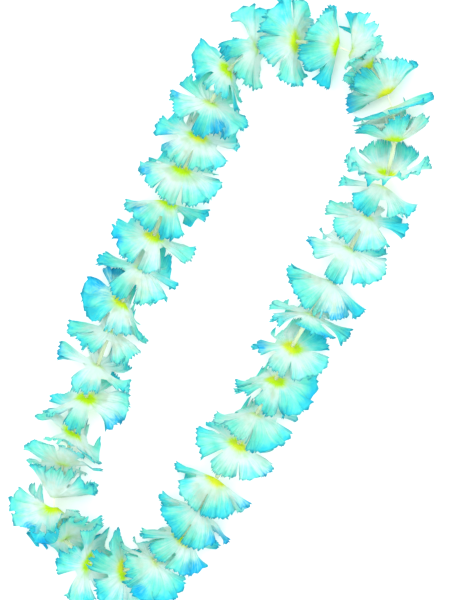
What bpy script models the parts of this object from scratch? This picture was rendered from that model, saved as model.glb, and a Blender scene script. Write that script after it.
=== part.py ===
"""A party lei that lies in a closed loop.

Flower discs of pleated cloth are threaded on one knotted string, with short straws that keep them apart.
Everything is worked out in the string's own frame: s runs along the string, u to its left and v upwards.
A disc is a sheet whose s is known for every u and v, and each sheet stays on its own side of the
surfaces halfway to its neighbours, so that no two discs cross however they lean.
"""

import math
import random
from dataclasses import dataclass

import bmesh
import bpy
import numpy as np

# Driving dimensions, in metres: the loop
LOOP_LENGTH = 1.016
STRING_HEIGHT = 0.0135
STRING_RADIUS = 0.0006

# The flower discs
DISC_RADIUS = 0.0352
HUB_RADIUS = 0.0030
HOLE_RADIUS = 0.0012
SHEET_THICKNESS = 0.0007
TOOTH_DEPTH = 0.0030
PRESSED_HEIGHT = 0.0003

# The straws, and the knot that ties the string
STRAW_RADIUS = 0.0016
STRAW_SHOULDER = 0.0002
STRAW_CLEARANCE = 0.0005
SHORTEST_STRAW = 0.012
KNOT_RADIUS = 0.0019
KNOT_HALF = 0.0010
KNOT_SETBACK = 0.0060

# The room kept between neighbouring sheets: at the hub, at the most, and how it grows outwards
SHEET_SPACING = 0.0016
WIDEST_SPACING = 0.0060
SPACING_GROWTH = 0.15

# How a disc is cut: shares of its radius and of a petal's width
MIDDLE_ROW = 0.70
SLIT_SHARE = 0.06
TEETH_PER_PETAL = 4

# How a disc leans along the string, in degrees, and how that grows from the hub to the rim
STEEPEST_LEAN = 82
LARGEST_YAW = 46
SWING_SHARE = 0.8
HUB_LEAN_SHARE = 0.85
RIM_LEAN_SHARE = 1.20
LEAN_EASE = 1.3

# Each petal's own lean, twist and wave, in degrees, and the wave's length and starts, in radians
LEAN_SPREAD = 20
TWIST_SPREAD = 28
WAVE_LEAN = 9
WAVE_SWEEP = 4.2
DISC_PHASE = 1.7
PETAL_PHASE = 2.3

# The share of those that an uncrumpled flower keeps, less of it where its petals meet, how
# narrow a petal beside the string is folded at most, and how unevenly
LEAST_TURNED = 0.35
MOST_FOLDED = 0.65
FOLD_SPREAD = 0.8

# Limits of the working: steps out over a sheet, and how far a bend of the string may crowd or
# spread it
SAMPLES_PER_SPAN = 40
WALK_STEPS = 24
MOST_CROWDED = 0.7
MOST_SPREAD = 1.5
TIGHTEST_BEND = 0.35
OUT_OF_REACH = 1.0
TOUCH = 0.000001
WELD_DISTANCE = 0.00005

# The string's route round the loop, anticlockwise from the top, in pixels of the photograph
ROUTE_PX = (
    (340, 44), (297, 40), (258, 44), (226, 67), (211, 101), (198, 136), (182, 169), (166, 202),
    (154, 237), (139, 272), (121, 303), (108, 335), (97, 368), (84, 401), (73, 434), (62, 467),
    (50, 504), (61, 540), (86, 564), (122, 575), (154, 562), (183, 541), (200, 509), (216, 477),
    (238, 445), (257, 413), (276, 380), (291, 347), (311, 314), (331, 281), (350, 249), (369, 215),
    (388, 178), (398, 138), (391, 96), (369, 63),
)
# The photograph's point under the part's origin
ORIGIN_PX = (221.9, 303.9)

# The string's ends are knotted in its one stretch without a straw, after this disc
KNOT_FOLLOWS = 25


@dataclass
class Bloom:
    """A flower disc. Directions on the photograph are in degrees, 0 to the right and 90 up."""

    at_px: tuple
    opens: float
    top: float = 70
    side: float = 10
    base: float = -45
    petals: int = 5
    spin: float = 0
    size: float = 1.0
    crumple: float = 0.35


# Every disc in order round the string, clockwise from the top left, as the photograph shows it.
# top, side and base are the leans of its petals above, beside and below the string, and a
# negative lean is to the other side. crumple is how far its petals are folded up like fans
# and turned each its own way.
BLOOMS = (
    Bloom((224, 67), 176, top=62, side=12, base=-40, spin=20, size=0.94, crumple=0.7),
    Bloom((257, 50), 165, side=14, spin=50, crumple=0.5),
    Bloom((296, 43), 182, side=8, spin=5, size=1.04, crumple=0.2),
    Bloom((339, 44), 178, top=74, side=10, base=40, spin=54, crumple=0.1),
    Bloom((352, 48), 25, top=66, side=10, base=40, spin=10, crumple=0),
    Bloom((367, 71), 186, top=64, side=0, base=-30, spin=54, size=0.92, crumple=0.1),
    Bloom((386, 95), 128, top=70, side=12, base=40, spin=54, crumple=0.2),
    Bloom((392, 107), 300, top=24, side=6, base=24, spin=40, crumple=0.5),
    Bloom((397, 142), 96, top=50, side=26, base=30, spin=15, crumple=0.7),
    Bloom((387, 176), 84, top=-8, side=26, base=64, spin=18, size=1.04, crumple=0.1),
    Bloom((385, 187), 252, top=62, side=14, base=40, spin=0, crumple=0.9),
    Bloom((366, 216), 258, top=66, side=14, spin=54, size=0.98, crumple=0.6),
    Bloom((350, 249), 250, top=74, side=10, spin=18, crumple=0.2),
    Bloom((331, 281), 245, top=78, side=14, base=45, spin=50, size=1.04, crumple=0.1),
    Bloom((311, 315), 256, top=28, side=10, base=-30, spin=36, crumple=0.8),
    Bloom((290, 346), 266, top=66, side=8, base=-55, spin=10, size=0.92, crumple=0.4),
    Bloom((277, 381), 284, top=68, side=10, spin=30, crumple=0.3),
    Bloom((257, 415), 284, top=66, side=8, spin=0, crumple=0.4),
    Bloom((239, 445), 242, top=66, side=10, spin=20),
    Bloom((214, 477), 241, top=78, side=12, base=45, spin=54, crumple=0.1),
    Bloom((198, 508), 238, top=76, side=12, base=40, spin=50, crumple=0.1),
    Bloom((185, 539), 262, top=70, side=18, spin=4, size=0.95, crumple=0.4),
    Bloom((153, 559), 252, top=66, side=8, spin=18, crumple=0.6),
    Bloom((123, 576), 182, top=64, side=6, spin=0, crumple=0.5),
    Bloom((89, 562), 178, top=50, side=4, base=-40, spin=32, crumple=0.5),
    Bloom((63, 540), 68, top=68, side=14, base=-60, spin=18, size=1.04, crumple=0.2),
    Bloom((49, 508), 230, top=74, side=14, base=25, spin=30, size=1.02, crumple=0.1),
    Bloom((52, 497), 56, top=54, side=38, base=45, spin=18, crumple=0.1),
    Bloom((66, 466), 90, top=58, side=10, spin=10, crumple=0.6),
    Bloom((78, 434), 204, top=58, side=6, spin=36, crumple=0.7),
    Bloom((88, 399), 290, top=70, side=12, base=-55, spin=10, size=1.03, crumple=0.5),
    Bloom((98, 366), 230, top=42, side=4, base=-50, spin=25, crumple=0.7),
    Bloom((111, 332), 262, top=44, side=6, base=-45, spin=45, crumple=0.7),
    Bloom((121, 302), 202, top=62, side=4, base=-20, spin=10, crumple=0.4),
    Bloom((144, 270), 248, top=72, side=12, spin=36, crumple=0.4),
    Bloom((154, 236), 250, top=76, side=12, spin=0, crumple=0.5),
    Bloom((167, 201), 262, top=68, side=12, base=40, spin=54, crumple=0.5),
    Bloom((183, 169), 262, top=76, side=10, spin=20, crumple=0.1),
    Bloom((198, 136), 252, top=70, side=10, spin=45, crumple=0.4),
    Bloom((213, 104), 246, top=66, side=6, base=-50, spin=8, crumple=0.5),
)


class Route:
    """The string's smooth closed route on the ground plan, with its arc length."""

    def __init__(self, points_px, length, origin_px):
        smooth = closed_spline(np.array(points_px, float))
        steps = np.linalg.norm(np.diff(smooth, axis=0, append=smooth[:1]), axis=1)
        self.metres_per_px = length / steps.sum()
        self.origin_px = np.array(origin_px, float)
        self.length = length
        self.points = self.from_photo(smooth)
        self.s = np.concatenate(([0.0], np.cumsum(steps)[:-1])) * self.metres_per_px
        ahead = np.roll(self.points, -1, axis=0) - np.roll(self.points, 1, axis=0)
        self.tangents = ahead / np.linalg.norm(ahead, axis=1)[:, None]
        turn = np.roll(self.tangents, -1, axis=0) - np.roll(self.tangents, 1, axis=0)
        left = np.stack((-self.tangents[:, 1], self.tangents[:, 0]), axis=1)
        self.bends = (turn * left).sum(axis=1) / np.linalg.norm(ahead, axis=1)

    def from_photo(self, points_px):
        """Photograph pixels as metres on the ground plan."""
        offset = (np.asarray(points_px, float) - self.origin_px) * self.metres_per_px
        return offset * (1, -1)

    def nearest(self, point_px):
        """The arc length of the route's point nearest to a point of the photograph."""
        gaps = np.linalg.norm(self.points - self.from_photo(point_px), axis=1)
        return self.s[gaps.argmin()]

    def read(self, values, s):
        """A value kept along the route, at any arc length."""
        return np.interp(np.mod(s, self.length), self.s, values, period=self.length)

    def tangent(self, s):
        """The route's unit direction on the ground plan, at any arc length."""
        along = np.stack([self.read(self.tangents[:, k], s) for k in (0, 1)], axis=-1)
        return along / np.linalg.norm(along, axis=-1, keepdims=True)

    def place(self, s, u, v):
        """World points from the string's own coordinates."""
        along = self.tangent(s)
        x = self.read(self.points[:, 0], s) - u * along[..., 1]
        y = self.read(self.points[:, 1], s) + u * along[..., 0]
        return np.stack((x, y, v + STRING_HEIGHT), axis=-1)


def closed_spline(points):
    """A closed uniform cubic B-spline, sampled at even steps of its parameter."""
    t = np.linspace(0, 1, SAMPLES_PER_SPAN, endpoint=False)[:, None]
    weights = ((1 - t) ** 3, 3 * t**3 - 6 * t**2 + 4, -3 * t**3 + 3 * t**2 + 3 * t + 1, t**3)
    spans = []
    for k in range(len(points)):
        corners = (points[k - 1], points[k], points[(k + 1) % len(points)],
                   points[(k + 2) % len(points)])
        spans.append(sum(w * corner for w, corner in zip(weights, corners)) / 6)
    return np.concatenate(spans)


class Disc:
    """A bloom set on the route, able to say how far along the string its sheet lies."""

    def __init__(self, bloom, route, number):
        self.bloom = bloom
        self.number = number
        self.s = float(route.nearest(bloom.at_px))
        self.bend = float(route.read(route.bends, self.s))
        self.radius = DISC_RADIUS * bloom.size
        east, north = route.tangent(self.s)
        turn = (bloom.opens - math.degrees(math.atan2(north, east)) + 180) % 360 - 180
        self.sign = 1 if abs(turn) <= 90 else -1
        if self.sign < 0:
            turn = (turn + 360) % 360 - 180
        yaw = max(-LARGEST_YAW, min(LARGEST_YAW, turn))
        self.yaw_slope = -math.tan(math.radians(yaw))
        self.swing = self.sign * SWING_SHARE * math.radians(yaw)

    def lean(self, theta):
        """The sheet's lean, in degrees, for the directions theta round the string. A disc that is
        turned to one side leans most towards that side."""
        up = np.clip(np.sin(theta + self.swing), 0, 1) ** LEAN_EASE
        down = np.clip(-np.sin(theta), 0, 1) ** LEAN_EASE
        bloom = self.bloom
        return bloom.side + (bloom.top - bloom.side) * up + (bloom.base - bloom.side) * down

    def walk(self, theta, extra, far):
        """Walks out over the sheet in even steps, and gives the distance r from the string and
        the way h along it at each step. A sheet that meets the ground goes on along it."""
        drop = -np.sin(theta)
        height = STRING_HEIGHT - SHEET_THICKNESS / 2
        to_ground = np.where(drop > TOUCH, height / np.maximum(drop, TOUCH), OUT_OF_REACH)
        r = np.zeros_like(theta)
        h = np.zeros_like(theta)
        step = far / WALK_STEPS
        rs, hs = [r], [h]
        for k in range(WALK_STEPS):
            out = (k + 0.5) * step
            share = np.clip((out - HUB_RADIUS) / (self.radius - HUB_RADIUS), 0, 1)
            free = out > HUB_RADIUS
            bow = HUB_LEAN_SHARE + (RIM_LEAN_SHARE - HUB_LEAN_SHARE) * share
            angle = np.clip(self.lean(theta) * bow + extra * share, -STEEPEST_LEAN, STEEPEST_LEAN)
            wide = np.clip(1 - self.bend * r * np.cos(theta), MOST_CROWDED, MOST_SPREAD)
            slope = self.sign * np.tan(np.radians(angle)) + self.yaw_slope * np.cos(theta)
            slope = np.where(free, slope, 0.0)
            onward = step / np.sqrt(1 + slope**2)
            grounded = r + onward > to_ground
            forward = np.where(slope < 0, -1.0, 1.0)
            h = h + np.where(grounded, forward * step, slope * onward) / wide
            r = np.where(grounded, to_ground, r + onward)
            rs.append(r)
            hs.append(h)
        return np.array(rs), np.array(hs)

    def base_s(self, u, v):
        """Where the plain sheet, without its petals' own leans, stands over the points (u, v)."""
        theta = np.arctan2(v, u)
        rs, hs = self.walk(theta, np.zeros_like(theta), np.full_like(theta, self.radius))
        r = np.hypot(u, v)
        heights = [np.interp(r[j] - TOUCH, rs[:, j], hs[:, j]) for j in range(len(r))]
        return self.s + np.array(heights)


def halfway(before, after, length, u, v):
    """The surface halfway between two neighbouring discs, as a distance past the first one's hole."""
    gap = (after.s - before.s) % length
    start = before.base_s(u, v) - before.s
    end = after.base_s(u, v) - after.s + gap
    return (start + end) / 2


def keep_between(disc, before, after, length, s, u, v):
    """Holds a disc's points between the surfaces halfway to its two neighbours."""
    r = np.hypot(u, v)
    half = SHEET_SPACING / 2 + SPACING_GROWTH * np.clip(r - HUB_RADIUS, 0, None)
    half = np.minimum(half, WIDEST_SPACING / 2) / np.clip(1 - disc.bend * u, TIGHTEST_BEND, 1)
    lowest = halfway(before, disc, length, u, v) - (disc.s - before.s) % length + half
    highest = halfway(disc, after, length, u, v) - half
    centre = (lowest + highest) / 2
    room = np.clip(highest - lowest, 0, None) / 2
    beyond = s - disc.s
    held = np.clip(beyond, centre - room, centre + room)
    return disc.s + np.where(r < HUB_RADIUS + TOUCH, beyond, held)


def petal_rows(disc, petal, extra_lean, twist, unevenness):
    """The rows of one petal from the hole to its toothed rim, as (distance, direction, lean) points.

    The rows at the hole and the hub end on the neighbouring petals' own points."""
    half = math.pi / disc.bloom.petals
    middle = math.radians(disc.bloom.spin) + 2 * half * petal
    crumple = disc.bloom.crumple
    folded = MOST_FOLDED * abs(math.cos(middle)) * min(max(crumple + unevenness, 0), 1)
    turned = LEAST_TURNED + crumple
    open_half = half * (1 - SLIT_SHARE) * (1 - folded)
    phase = disc.number * DISC_PHASE + petal * PETAL_PHASE

    def row(distances, reach, leans):
        directions = np.linspace(-reach, reach, len(distances))
        share = directions / half
        wave = WAVE_LEAN * np.sin(share * WAVE_SWEEP + phase)
        own = turned * (extra_lean + twist * share) + wave
        own = own * (1 - max(1 - turned, 0) * np.abs(share) ** 3)
        return [(d, middle + a, leans * lean) for d, a, lean in zip(distances, directions, own)]

    tips = [disc.radius - (TOOTH_DEPTH if k % 2 else 0) for k in range(2 * TEETH_PER_PETAL + 1)]
    tips[0] = tips[-1] = disc.radius - 2 * TOOTH_DEPTH
    return [
        row([HOLE_RADIUS] * 2, half, 0),
        row([HUB_RADIUS] * 3, half, 0),
        row([disc.radius * MIDDLE_ROW] * 5, open_half, 1),
        row(tips, open_half, 1),
    ]


def stitch(mesh, inner, outer):
    """Fills the strip between two rows of points with triangles, always taking the shorter step."""
    i = j = 0
    while i < len(inner) - 1 or j < len(outer) - 1:
        next_inner = (i + 1) / (len(inner) - 1) if i < len(inner) - 1 else 2
        next_outer = (j + 1) / (len(outer) - 1) if j < len(outer) - 1 else 2
        if next_inner < next_outer:
            mesh.faces.new((inner[i], outer[j], inner[i + 1]))
            i += 1
        else:
            mesh.faces.new((inner[i], outer[j], outer[j + 1]))
            j += 1


def disc_sheet(disc, before, after, route):
    """The disc as an open sheet of triangles: a hub with a hole, and petals with slits between."""
    chance = random.Random(disc.number)
    petals = range(disc.bloom.petals)
    rows = []
    for petal in petals:
        extra = chance.uniform(-LEAN_SPREAD, LEAN_SPREAD)
        twist = chance.uniform(-TWIST_SPREAD, TWIST_SPREAD)
        unevenness = chance.uniform(-FOLD_SPREAD / 2, FOLD_SPREAD / 2)
        rows.append(petal_rows(disc, petal, extra, twist, unevenness))
    flat = np.array([point for petal in rows for row in petal for point in row])
    out, theta, extra = flat.T
    rs, hs = disc.walk(theta, extra, out)
    u, v = rs[-1] * np.cos(theta), rs[-1] * np.sin(theta)
    s = keep_between(disc, before, after, route.length, disc.s + hs[-1], u, v)
    places = iter(route.place(s, u, v))

    mesh = bmesh.new()
    for petal in rows:
        made = [[mesh.verts.new(next(places)) for _ in row] for row in petal]
        for inner, outer in zip(made, made[1:]):
            stitch(mesh, inner, outer)
    bmesh.ops.remove_doubles(mesh, verts=mesh.verts, dist=WELD_DISTANCE)
    return mesh


def cloth_material():
    """Thin polyester in pale blue, as it looks from a step away."""
    material = bpy.data.materials.new("dyed_cloth")
    material.use_nodes = True
    shader = material.node_tree.nodes["Principled BSDF"]
    shader.inputs["Base Color"].default_value = (0.42, 0.86, 0.92, 1)
    shader.inputs["Roughness"].default_value = 0.75
    shader.inputs["Metallic"].default_value = 0.0
    return material


def straw_material():
    """Clear plastic straw over a cream string."""
    material = bpy.data.materials.new("clear_straw")
    material.use_nodes = True
    shader = material.node_tree.nodes["Principled BSDF"]
    shader.inputs["Base Color"].default_value = (0.90, 0.94, 0.88, 1)
    shader.inputs["Roughness"].default_value = 0.30
    shader.inputs["Metallic"].default_value = 0.0
    return material


def new_collection(name):
    """An empty collection under the scene's own."""
    collection = bpy.data.collections.new(name)
    bpy.context.scene.collection.children.link(collection)
    return collection


def add_disc(disc, before, after, route, collection, material):
    """A flower disc: its sheet thickened into one closed solid."""
    name = f"bloom_{disc.number:02d}"
    sheet = disc_sheet(disc, before, after, route)
    mesh = bpy.data.meshes.new(name)
    sheet.to_mesh(mesh)
    sheet.free()
    bloom = bpy.data.objects.new(name, mesh)
    collection.objects.link(bloom)
    mesh.materials.append(material)
    thick = bloom.modifiers.new("cloth thickness", "SOLIDIFY")
    thick.thickness = SHEET_THICKNESS
    thick.offset = 0
    press_down(bloom)
    return bloom


def press_down(bloom):
    """Flattens the undersides of the petals that lie on the ground."""
    evaluated = bloom.evaluated_get(bpy.context.evaluated_depsgraph_get())
    solid = bpy.data.meshes.new_from_object(evaluated)
    for vertex in solid.vertices:
        if vertex.co.z < PRESSED_HEIGHT:
            vertex.co.z = 0
    sheet = bloom.data
    bloom.modifiers.clear()
    bloom.data = solid
    bpy.data.meshes.remove(sheet)


def string_profile(discs, route):
    """Points along the string with its radius at each: bare at the discs, wide at the straws."""
    seat = SHEET_THICKNESS / 2 + STRAW_CLEARANCE
    straw = ((seat, STRING_RADIUS), (seat + STRAW_SHOULDER, STRAW_RADIUS))
    knot = ((-2, STRING_RADIUS), (-1, KNOT_RADIUS), (1, KNOT_RADIUS), (2, STRING_RADIUS))
    stations = np.array([disc.s for disc in discs])
    centred = np.zeros_like(stations)
    holes = route.place(stations, centred, centred)
    points = []
    for k, hole in enumerate(holes):
        following = holes[(k + 1) % len(holes)]
        run = following - hole
        length = np.linalg.norm(run)
        way = run / length
        points.append((hole, STRING_RADIUS))
        if discs[k].number == KNOT_FOLLOWS:
            middle = length - KNOT_SETBACK
            points += [(hole + way * (middle + a * KNOT_HALF), radius) for a, radius in knot]
        elif length > SHORTEST_STRAW:
            points += [(hole + way * a, radius) for a, radius in straw]
            points += [(following - way * a, radius) for a, radius in reversed(straw)]
    return points


def add_string(discs, route, collection, material):
    """The string all the way round, with the straws that sit on it."""
    curve = bpy.data.curves.new("string_with_straws", "CURVE")
    curve.dimensions = "3D"
    curve.bevel_depth = STRING_RADIUS
    curve.bevel_resolution = 1
    spline = curve.splines.new("POLY")
    points = string_profile(discs, route)
    spline.points.add(len(points) - 1)
    for point, (place, radius) in zip(spline.points, points):
        point.co = (*place, 1)
        point.radius = radius / STRING_RADIUS
    spline.use_cyclic_u = True
    string = bpy.data.objects.new("string_with_straws", curve)
    collection.objects.link(string)
    curve.materials.append(material)
    return string


def main():
    """Builds the discs in their order along the string, and then the string."""
    for old in list(bpy.data.objects):
        bpy.data.objects.remove(old, do_unlink=True)
    collection = new_collection("lei")
    route = Route(ROUTE_PX, LOOP_LENGTH, ORIGIN_PX)
    discs = [Disc(bloom, route, k + 1) for k, bloom in enumerate(BLOOMS)]
    discs.sort(key=lambda disc: disc.s)
    cloth = cloth_material()
    for k, disc in enumerate(discs):
        add_disc(disc, discs[k - 1], discs[(k + 1) % len(discs)], route, collection, cloth)
    add_string(discs, route, collection, straw_material())


main()
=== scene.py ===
"""Dresses the lei: cut, pleated and dyed cloth flowers, their string and its clear straws.

Everything is worked out in the string's own frame: s runs along the string, u to its left and v
upwards. A flower is a sheet whose s is known for every u and v. It is held between the surfaces
halfway to its neighbours, so neighbouring flowers keep to their own sides however they lean.
"""

import math
import random
from dataclasses import dataclass

import bpy
import numpy as np
from bpy.props import FloatProperty, FloatVectorProperty, IntProperty, PointerProperty
from bpy.types import Operator, Panel, PropertyGroup
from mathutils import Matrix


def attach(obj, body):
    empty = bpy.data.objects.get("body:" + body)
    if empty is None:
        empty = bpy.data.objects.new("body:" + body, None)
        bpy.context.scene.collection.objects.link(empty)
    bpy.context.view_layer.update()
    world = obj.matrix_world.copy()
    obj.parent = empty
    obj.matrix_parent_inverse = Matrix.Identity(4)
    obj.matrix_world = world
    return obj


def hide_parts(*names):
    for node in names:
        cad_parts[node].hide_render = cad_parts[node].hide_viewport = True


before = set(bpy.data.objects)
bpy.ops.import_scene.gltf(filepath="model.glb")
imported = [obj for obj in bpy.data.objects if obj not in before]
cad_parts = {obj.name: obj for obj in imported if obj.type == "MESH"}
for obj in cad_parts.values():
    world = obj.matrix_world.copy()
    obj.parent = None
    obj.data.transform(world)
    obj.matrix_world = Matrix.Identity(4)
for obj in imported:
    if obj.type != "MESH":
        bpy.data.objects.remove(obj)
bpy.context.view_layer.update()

bl_info = {
    "name": "Flower Lei",
    "version": (1, 0, 0),
    "blender": (4, 5, 0),
    "location": "View3D > Sidebar > Lei",
    "description": "Builds a party lei of pleated cloth flowers round its packed frame",
    "category": "Add Mesh",
}

BODY = "root"

# The loop and the flat discs, in metres, as in the frame
LOOP_LENGTH = 1.016
STRING_HEIGHT = 0.0135
DISC_RADIUS = 0.0352
HUB_RADIUS = 0.0030
HOLE_RADIUS = 0.0012
PETALS = 5
HALF_PETAL = math.pi / PETALS

# The straws: how long a gap between discs is to hold one, and what it leaves free at each end
SHORTEST_STRAW = 0.012
STRAW_CLEARANCE = 0.0005

# The knot that ties the string's ends, in a gap without a straw: the disc before it, how far it
# sits from the next disc, its turns and their points, how far out and how long they are, how thin
# its strands are pulled, and the way of its two tails along, to the left of and above the string
KNOT_FOLLOWS = 25
KNOT_SETBACK = 0.0060
KNOT_TURNS = 2.5
KNOT_POINTS = 30
KNOT_REACH = 0.0012
KNOT_LENGTH = 0.0024
KNOT_THINNESS = 0.9
FIRST_TAIL = (
    (-0.0094, 0.0030, -0.0014), (-0.0070, 0.0036, -0.0024), (-0.0042, 0.0028, -0.0026),
    (-0.0020, 0.0018, -0.0014),
)
SECOND_TAIL = (
    (0.0014, -0.0016, -0.0011), (0.0002, -0.0026, -0.0020), (-0.0024, -0.0034, -0.0022),
    (-0.0052, -0.0036, -0.0028), (-0.0086, -0.0044, -0.0018),
)

# The room kept between neighbouring sheets: at the hub, at the most, and how it grows outwards
SHEET_SPACING = 0.0014
WIDEST_SPACING = 0.0052
SPACING_GROWTH = 0.14

# The ground: how high over it a sheet lies, the slope from which a sheet that comes down on it
# goes on along the string in full, and how far below it the floor is
GROUND_CLEARANCE = 0.0004
GROUND_EASE = 0.4
FLOOR_GAP = 0.0003

# How a disc leans along the string, in degrees, and how that grows from the hub to the rim
STEEPEST_LEAN = 82
LARGEST_YAW = 46
SWING_SHARE = 0.8
HUB_LEAN_SHARE = 0.85
RIM_LEAN_SHARE = 1.20
LEAN_EASE = 1.3

# Each petal's own lean, twist and wave, in degrees, and the wave's length and starts, in radians
LEAN_SPREAD = 20
TWIST_SPREAD = 28
WAVE_LEAN = 9
WAVE_SWEEP = 4.2
DISC_PHASE = 1.7
PETAL_PHASE = 2.3

# The share of those that an uncrumpled flower keeps, and how sharply they fade where petals meet
LEAST_TURNED = 0.35
MEETING_POWER = 3

# The folds of a petal beside the string: how much narrower they make it at most, how unevenly,
# where on its way out they are full, and how many there are
MOST_FOLDED = 0.65
FOLD_SPREAD = 0.4
FOLDS_FULL = 0.6
FOLD_RIDGES = 3.2

# The ruffle of the rims: how far it sweeps across a petal, in radians, how high and how often a
# second one runs over it, and where on the way out it starts
RUFFLE_SWEEPS = (8.5, 12.5)
SECOND_RUFFLE = 0.5
SECOND_SWEEP = 2.3
RUFFLE_STARTS = 0.35

# How a petal is cut: its length as a share of the disc's radius, how lopsided its corners are,
# where across its half width they start and end, and how much of their size they have
PETAL_LENGTHS = (0.98, 1.0)
MOST_LOPSIDED = 0.12
CORNER_SPAN = (0.62, 1.08)
CORNER_CUTS = (0.1, 1.3)

# The teeth: the fewest on a petal, their lengths as shares of their depth, and the share of it
# where the dyed edge lies
FEWEST_TEETH = 4
TOOTH_LENGTHS = (0.6, 1.0)
EDGE_DEPTH = 0.6

# The slits: where on its way out a petal parts from the next, where they are widest, how widely
# their widths differ, and how they open. Nearer the hub the cloth joins neighbouring petals, as
# far as folds don't pull them further apart than this.
SLIT_STARTS = 0.52
SLIT_ENDS = 1.1
SLIT_DRAWS = (0.0, 1.5)
SLIT_POWER = 3
SLIT_OPENING = 0.8
WIDEST_JOIN = 0.0050

# The mesh of a flower: the rings round its hole and how far from a dyed edge they count, the rows
# of a petal and how they crowd at the rim, the rows that a plain sheet is read at, and the columns
# of a tooth, from notch to tip and back, with their share of a pleat
HUB_RINGS = (HOLE_RADIUS, 0.6 * HUB_RADIUS, HUB_RADIUS)
FAR_FROM_EDGE = 0.01
PETAL_ROWS = 16
ROW_POWER = 0.92
LOOKUP_ROWS = 40
TOOTH_PROFILE = (0.08, 0.54, 1.0, 0.54)
PLEAT_PROFILE = (-1.0, 0.0, 1.0, 0.0)
TOOTH_COLUMNS = len(TOOTH_PROFILE)

# The pleats: where on the way out they are full, how uneven they are, and how fast that changes
PLEATS_FULL = 0.8
PLEAT_UNEVENNESS = 1.2
PLEAT_NOISE = 120.0

# The mesh of the string and straws: their sides, the steps along the string and its knot, and the
# points on each span of the knot's way
STRAND_SIDES = 7
STRAW_SIDES = 20
STRING_STEP = 0.0005
KNOT_STEP = 0.0003
KNOT_SAMPLES = 6

# Limits of the working: the points on each span of the route, the steps of a walk over a sheet,
# how close and how far apart a sheet's ways may run at a bend, how close the room between sheets
# allows for, a way out past every sheet, and one too short to count
SAMPLES_PER_SPAN = 40
WALK_STEPS = 48
MOST_CROWDED = 0.7
MOST_SPREAD = 1.5
TIGHTEST_BEND = 0.35
OUT_OF_REACH = 1.0
TOUCH = 0.000001

# What makes the dyes uneven: each noise's scale, detail and roughness, and how far it shifts them
# as a share of a disc's radius. Streaks run out along the pleats, and spots lie anywhere.
STREAKS = {"streaks": (4.6, 2.5, 0.6, 0.50), "fine_streaks": (17.0, 2.0, 0.6, 0.24)}
SPOTS = {
    "blotches": (62.0, 2.0, 0.55, 0.64), "mottles": (240.0, 2.0, 0.6, 0.24),
    "batch": (17.0, 1.0, 0.5, 0.30),
}
PETAL_SHIFT = 0.19

# How fast the streaks change round a flower, out along it, and from place to place
STREAKS_ROUND = 3.2
STREAKS_OUT = 0.35
STREAKS_APART = 9.0

# The noises of the dye bath and of the grey tinge: scale, detail and roughness, and their places
BATH = (34.0, 2.0, 0.5)
BATH_PLACE = (3.0, 1.0, 2.0)
TINGE = (70.0, 2.5, 0.6)
TINGE_PLACE = (1.0, 4.0, 2.0)

# Where on the way out each dye starts and ends, with its strength before and after where that
# isn't 0 and 1, and the dark line's width along a cut edge, in metres
WASH_SPAN = (0.25, 0.88)
RIM_SPAN = (0.78, 1.07)
RIM_STRENGTH = 0.85
PATCH_SPAN = (0.42, 0.80)
LINE_WIDTH = 0.0026
LINE_SPAN = (0.45, 0.95, 0.15, 1.0)
LINE_STRENGTH = 0.95
BLEED_SPAN = (0.32, 0.60, 1.0, 0.0)
CENTRE_SPAN = (0.26, 0.43, 1.0, 0.0)

# Where in its noise each change starts and ends, with its strength before and after
GREENER = (0.30, 0.56)
TINGED = (0.48, 0.70, 0.0, 0.85)
TINGED_BLEED = (0.46, 0.66, 0.04, 0.50)
YELLOWER = (0.46, 0.62, 0.0, 0.85)
PATCH_STREAKS = (0.3, 0.68, 0.4, 1.0)
LINE_STREAKS = (0.30, 0.65, 0.45, 1.0)
# Painted shade along the creases: the cloth's colour times these, least in the creases' valleys,
# where the fine streaks are low
CREASE_SHADE = (0.2, 0.8, 0.84, 0.90)

# How far streaks, blotches and the flower's own strength move the edge of the middle's dye, and
# what it makes of that strength: times the first and plus the second
CENTRE_STREAKS = 0.16
CENTRE_BLOTCHES = 0.10
CENTRE_GROWTH = 0.16
CENTRE_STRENGTH = (0.6, 0.4)

# The threads: how close they lie, in radians a metre, how uneven they are, and the noise of their
# slubs. Then the height of the cloth's creases beside theirs, and the light that goes through it.
CLOTH_THREADS = (14000.0, 0.8)
STRING_THREADS = (9000.0, 1.4)
SLUBS = (0.35, 3.0, 0.6)
CREASE_HEIGHT = 1.4
LIGHT_THROUGH = 0.42

# The reliefs: their strength, and their height in metres
CLOTH_RELIEF = (0.35, 0.0003)
STRING_RELIEF = (0.6, 0.0002)
STRAW_RELIEF = (0.15, 0.0001)

# The noises of stains, scuffs, ripples and floor grain, where in them the look changes and from
# what to what, and how dark a stain is
STAINS = (90.0, 3.0)
STAINED = (0.3, 0.7)
STAIN_SHADE = 0.85
STRING_ROUGHNESS = (0.2, 0.8, 0.9, 0.7)
SCUFFS = (700.0, 4.0, 0.6)
STRAW_ROUGHNESS = (0.35, 0.7, 0.12, 0.3)
STRAW_COVER = (0.3, 1.0, 0.42, 0.75)
STRAW_RIPPLES = 300.0
FLOOR_GRAIN = (40.0, 3.0)
FLOOR_SHADES = (0.3, 0.7, 0.985, 1.0)

# The stage: half the floor's side, how bright the world is, each light's name, place, size and
# power, and the height of the camera's sensor in millimetres
FLOOR_HALF = 3.0
WORLD_STRENGTH = 1.48
LIGHTS = (("soft_key", (-0.6, 0.7, 2.0), 1.2, 16), ("soft_fill", (0.9, -0.6, 1.9), 1.8, 10))
SENSOR_HEIGHT = 24

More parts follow.
